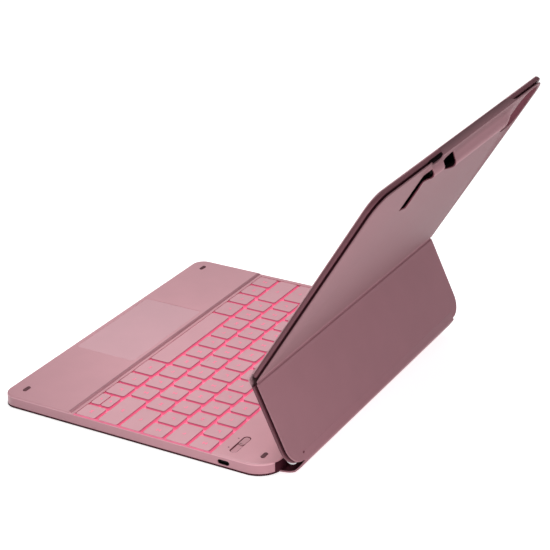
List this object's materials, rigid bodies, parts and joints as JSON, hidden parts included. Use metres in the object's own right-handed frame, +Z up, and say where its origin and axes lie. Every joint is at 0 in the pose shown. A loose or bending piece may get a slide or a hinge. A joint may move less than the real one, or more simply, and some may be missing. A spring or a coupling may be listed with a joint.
{
  "type": "tablet keyboard case",
  "caption": "Pink tablet keyboard case standing open: keyboard base with trackpad, hinge flap, and a back panel with camera window and pencil sleeve",
  "frame": {"origin": "centre of the base's underside, on the desk", "axes": "+X to the user's right, +Y away from the user, +Z up"},
  "size_m": [0.283, 0.3042, 0.2216],
  "materials": {
    "pink_skin": "matte",
    "pink_shell": "satin",
    "key_pink": "satin",
    "lining_fabric": "soft",
    "dark_core": "matte",
    "trackpad_glass": "satin",
    "silver": "satin",
    "steel": "brushed",
    "white_plastic": "matte",
    "dark_plastic": "matte",
    "battery_foil": "matte",
    "board_green": "satin",
    "bumper_rubber": "matte",
    "magnet": "satin",
    "lamp": "clear"
  },
  "bodies": {
    "base": {"deck_frame": "pink_shell", "base_skin": "pink_skin", "bottom_plate": "silver", "backlight_sheet": "white_plastic", "keyboard_plate": "steel", "key_membrane": "white_plastic", "scissor_supports": "white_plastic", "main_board": "board_green", "trackpad_board": "board_green", "battery_cells": "battery_foil", "closing_magnets": "magnet", "lid_bumpers": "bumper_rubber", "indicator_lenses": "lamp", "switch_housing": "dark_plastic", "usb_c_port": "steel", "hinge_brackets": "steel", "hinge_pins": "steel", "spine_skin": "pink_skin"},
    "flap": {"flap_board": "pink_skin", "flap_back_skin": "pink_skin", "flap_core": "dark_core", "flap_lining": "lining_fabric", "hinge_barrel": "pink_shell", "barrel_caps": "silver", "fold_leaves_lower": "steel", "fold_pins": "steel", "fold_lining": "lining_fabric"},
    "panel": {"panel_board": "pink_skin", "panel_back_skin": "pink_skin", "panel_core": "dark_core", "panel_lining": "lining_fabric", "tablet_magnets": "magnet", "camera_bezel": "dark_core", "pencil_sleeve": "pink_skin", "fold_leaves_upper": "steel"},
    "trackpad": {"trackpad_plate": "trackpad_glass"},
    "slider": {"power_slider": "dark_plastic"},
    "arrow_down_key_body": {"arrow_down_key": "key_pink"},
    "arrow_left_key_body": {"arrow_left_key": "key_pink"},
    "arrow_right_key_body": {"arrow_right_key": "key_pink"},
    "arrow_up_key_body": {"arrow_up_key": "key_pink"},
    "backspace_key_body": {"backspace_key": "key_pink"},
    "bottom_letter_keys_body": {"bottom_letter_keys": "key_pink"},
    "caps_key_body": {"caps_key": "key_pink"},
    "enter_key_body": {"enter_key": "key_pink"},
    "escape_key_body": {"escape_key": "key_pink"},
    "function_row_keys_body": {"function_row_keys": "key_pink"},
    "home_letter_keys_body": {"home_letter_keys": "key_pink"},
    "left_modifier_keys_body": {"left_modifier_keys": "key_pink"},
    "left_shift_key_body": {"left_shift_key": "key_pink"},
    "lock_key_body": {"lock_key": "key_pink"},
    "number_row_keys_body": {"number_row_keys": "key_pink"},
    "right_modifier_keys_body": {"right_modifier_keys": "key_pink"},
    "right_shift_key_body": {"right_shift_key": "key_pink"},
    "space_key_body": {"space_key": "key_pink"},
    "tab_key_body": {"tab_key": "key_pink"},
    "top_letter_keys_body": {"top_letter_keys": "key_pink"}
  },
  "joints": [
    {"name": "flap_hinge", "type": "hinge", "parent": "base", "child": "flap", "pos_m": [0, 0.1214, 0.013], "axis": [1, 0, 0], "range_deg": [0, 64]},
    {"name": "fold_hinge", "type": "hinge", "parent": "flap", "child": "panel", "pos_m": [0, 0.1004, 0.07385], "axis": [1, 0, 0], "range_deg": [-15, 56.7]},
    {"name": "trackpad_click", "type": "slide", "parent": "base", "child": "trackpad", "axis": [0, 0, -1], "range_m": [0, 0.0003], "stiffness_N_per_m": 400},
    {"name": "switch_slide", "type": "slide", "parent": "base", "child": "slider", "axis": [1, 0, 0], "range_m": [0, 0.0116]},
    {"name": "arrow_down_key_press", "type": "slide", "parent": "base", "child": "arrow_down_key_body", "axis": [0, 0, -1], "range_m": [0, 0.001], "stiffness_N_per_m": 150},
    {"name": "arrow_left_key_press", "type": "slide", "parent": "base", "child": "arrow_left_key_body", "axis": [0, 0, -1], "range_m": [0, 0.001], "stiffness_N_per_m": 150},
    {"name": "arrow_right_key_press", "type": "slide", "parent": "base", "child": "arrow_right_key_body", "axis": [0, 0, -1], "range_m": [0, 0.001], "stiffness_N_per_m": 150},
    {"name": "arrow_up_key_press", "type": "slide", "parent": "base", "child": "arrow_up_key_body", "axis": [0, 0, -1], "range_m": [0, 0.001], "stiffness_N_per_m": 150},
    {"name": "backspace_key_press", "type": "slide", "parent": "base", "child": "backspace_key_body", "axis": [0, 0, -1], "range_m": [0, 0.001], "stiffness_N_per_m": 150},
    {"name": "bottom_letter_keys_press", "type": "slide", "parent": "base", "child": "bottom_letter_keys_body", "axis": [0, 0, -1], "range_m": [0, 0.001], "stiffness_N_per_m": 150},
    {"name": "caps_key_press", "type": "slide", "parent": "base", "child": "caps_key_body", "axis": [0, 0, -1], "range_m": [0, 0.001], "stiffness_N_per_m": 150},
    {"name": "enter_key_press", "type": "slide", "parent": "base", "child": "enter_key_body", "axis": [0, 0, -1], "range_m": [0, 0.001], "stiffness_N_per_m": 150},
    {"name": "escape_key_press", "type": "slide", "parent": "base", "child": "escape_key_body", "axis": [0, 0, -1], "range_m": [0, 0.001], "stiffness_N_per_m": 150},
    {"name": "function_row_keys_press", "type": "slide", "parent": "base", "child": "function_row_keys_body", "axis": [0, 0, -1], "range_m": [0, 0.001], "stiffness_N_per_m": 150},
    {"name": "home_letter_keys_press", "type": "slide", "parent": "base", "child": "home_letter_keys_body", "axis": [0, 0, -1], "range_m": [0, 0.001], "stiffness_N_per_m": 150},
    {"name": "left_modifier_keys_press", "type": "slide", "parent": "base", "child": "left_modifier_keys_body", "axis": [0, 0, -1], "range_m": [0, 0.001], "stiffness_N_per_m": 150},
    {"name": "left_shift_key_press", "type": "slide", "parent": "base", "child": "left_shift_key_body", "axis": [0, 0, -1], "range_m": [0, 0.001], "stiffness_N_per_m": 150},
    {"name": "lock_key_press", "type": "slide", "parent": "base", "child": "lock_key_body", "axis": [0, 0, -1], "range_m": [0, 0.001], "stiffness_N_per_m": 150},
    {"name": "number_row_keys_press", "type": "slide", "parent": "base", "child": "number_row_keys_body", "axis": [0, 0, -1], "range_m": [0, 0.001], "stiffness_N_per_m": 150},
    {"name": "right_modifier_keys_press", "type": "slide", "parent": "base", "child": "right_modifier_keys_body", "axis": [0, 0, -1], "range_m": [0, 0.001], "stiffness_N_per_m": 150},
    {"name": "right_shift_key_press", "type": "slide", "parent": "base", "child": "right_shift_key_body", "axis": [0, 0, -1], "range_m": [0, 0.001], "stiffness_N_per_m": 150},
    {"name": "space_key_press", "type": "slide", "parent": "base", "child": "space_key_body", "axis": [0, 0, -1], "range_m": [0, 0.001], "stiffness_N_per_m": 150},
    {"name": "tab_key_press", "type": "slide", "parent": "base", "child": "tab_key_body", "axis": [0, 0, -1], "range_m": [0, 0.001], "stiffness_N_per_m": 150},
    {"name": "top_letter_keys_press", "type": "slide", "parent": "base", "child": "top_letter_keys_body", "axis": [0, 0, -1], "range_m": [0, 0.001], "stiffness_N_per_m": 150}
  ]
}
